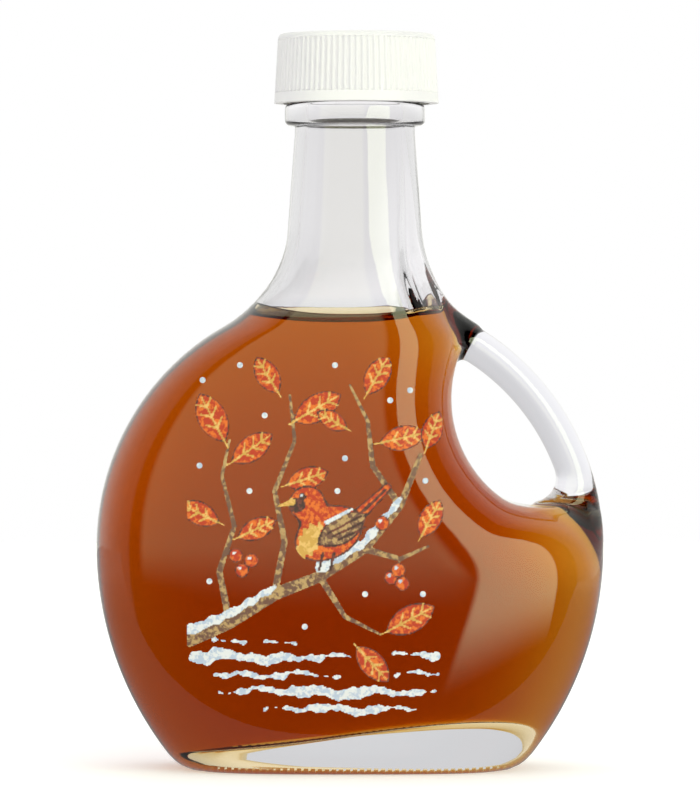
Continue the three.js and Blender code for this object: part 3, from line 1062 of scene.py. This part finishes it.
def paleFloor():
    finish = Finish("paleFloor")
    pale = finish.blend(finish.noise(3.0, 3.0), studio["floorPale"], studio["floorPaler"])
    matte = finish.node("ShaderNodeBsdfPrincipled", None, {
        "Base Color": pale, "Roughness": 0.7, "Specular IOR Level": 0.2,
        "Emission Color": (1, 1, 1, 1), "Emission Strength": studio["floorGlow"]})
    letGo()
    bpy.ops.mesh.primitive_circle_add(
        vertices=96, radius=studio["floorRadius"], fill_type="NGON", location=(0, 0, 0))
    floor = bpy.context.object
    floor.name = "floor"
    floor.data.materials.append(finish.done(matte))
    floor.visible_glossy = floor.visible_transmission = False
    floor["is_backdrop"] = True


def tableTop():
    # what reflections see of the floor: it ends a little way in front of the flask
    finish = Finish("tableGlow")
    x, y, z = finish.apart(finish.place())
    far = finish.step((x * x + y * y).root(), *studio["tableTurn"])
    glow = finish.node("ShaderNodeEmission", None, {
        "Color": finish.blend(far, studio["tableNear"], studio["tableFar"]), "Strength": 1.0})
    letGo()
    half, front = studio["tableHalf"], studio["tableEdge"]
    middle = (half + front) / 2
    bpy.ops.mesh.primitive_plane_add(size=2 * half, location=(0, middle, -studio["tableUnder"]))
    card = bpy.context.object
    bpy.ops.transform.resize(value=(1, (half - front) / 2, 1), center_override=(0, middle, 0))
    bpy.ops.object.transform_apply(location=True, rotation=True, scale=True)
    card.name = "tableTop"
    card.data.materials.append(finish.done(glow))
    card.visible_camera = card.visible_diffuse = card.visible_transmission = False
    card.visible_shadow = card.visible_volume_scatter = False
    card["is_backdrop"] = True


paleFloor()
tableTop()


def mirroredLook(sky, azimuth, rise):
    # what reflections find: a wide panel, a leaning strip and a tent's two sides, all else dark
    s = studio
    panel = sky.window(azimuth, *s["panel"], s["panelSoft"])
    panel = panel * sky.step(rise, s["panelLow"] - s["panelSoft"], s["panelLow"] + s["panelSoft"])
    stripLeft, stripRight = s["strip"]
    lean = rise.join("MINIMUM", rise * s["stripLean"], s["stripMost"] - stripLeft)
    strip = sky.step(azimuth - lean, stripLeft - s["stripSoft"], stripLeft + s["stripSoft"])
    strip = strip * (1 - sky.step(azimuth, stripRight - s["stripSoft"], stripRight + s["stripSoft"]))
    strip = strip * sky.step(rise, *s["stripLow"])
    look = sky.blend(panel, s["dark"], s["panelColour"])
    look = sky.blend(strip, look, s["stripColour"])
    for away, (start, full) in ((0 - azimuth, s["leftTent"]), (azimuth, s["rightTent"])):
        edge = sky.step(away, start - s["tentSoft"], start + s["tentSoft"])
        edge = edge * (s["tentStart"] + sky.step(away, start, full) * s["tentMore"])
        look = sky.blend(edge, look, s["tentColour"])
    return look


def throughLook(sky, y, rise):
    # what looks through glass find: a bright back that dims a little higher up, and a dim front
    dimmed = 1 - sky.step(rise, *studio["dimTurn"]) * studio["dimAbove"]
    look = sky.blend(sky.step(y, *studio["besideTurn"]), studio["besideColour"], sky.shade(dimmed))
    return sky.blend(sky.step(0 - y, *studio["nearTurn"]), look, studio["nearColour"])


def whiteSurround():
    # the camera finds it white, and soft light finds it grey
    sky = Finish("whiteSurround", "worlds")
    bpy.context.scene.world = sky.material
    x, y, z = sky.apart(sky.node("ShaderNodeTexCoord", out="Generated"))
    toDegrees = 180 / math.pi
    azimuth = x.join("ARCTAN2", x, 0 - y) * toDegrees
    rise = z.join("ARCSINE", z) * toDegrees
    isOf = lambda kind: sky.node("ShaderNodeLightPath", out=f"Is {kind} Ray")
    seen = sky.blend(isOf("Transmission"), mirroredLook(sky, azimuth, rise), throughLook(sky, y, rise))
    seen = sky.blend(isOf("Diffuse"), seen, (studio["litWorld"],) * 3 + (1,))
    seen = sky.blend(isOf("Camera"), seen, (1, 1, 1, 1))
    light = sky.node("ShaderNodeBackground", None, {"Color": seen, "Strength": 1.0})
    sky.done(light, kind="World")


whiteSurround()

lampsAim = (0, 0, 0.07)
softPanels = {
    "upperPanel": {"place": (0.25, -1.2, 1.0), "size": (0.9, 0.7), "bright": 1.7},
    "rightPanel": {"place": (1.0, -0.75, 0.35), "size": (0.4, 1.0), "bright": 0.6},
    "overheadPanel": {"place": (0.0, 0.3, 1.6), "size": (1.6, 1.6), "bright": 0.85},
}


def softPanel(name, place, size, bright):
    letGo()
    bpy.ops.object.light_add(type="AREA", location=place)
    lamp = bpy.context.object
    lamp.name = name
    lamp.data.shape = "RECTANGLE"
    lamp.data.size, lamp.data.size_y = size
    lamp.data.energy = bright * math.pi * size[0] * size[1]
    lamp.rotation_euler = (Vector(lampsAim) - lamp.location).to_track_quat("-Z", "Y").to_euler()
    lamp.visible_camera = lamp.visible_glossy = lamp.visible_transmission = False


for name, values in softPanels.items():
    softPanel(name, **values)
bpy.context.scene.view_settings.view_transform = "Standard"
print("studio set")

plain = lambda box: [[float(v) for v in corner] for corner in box]
{"cad": plain(cadBox), "visual": plain(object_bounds())}
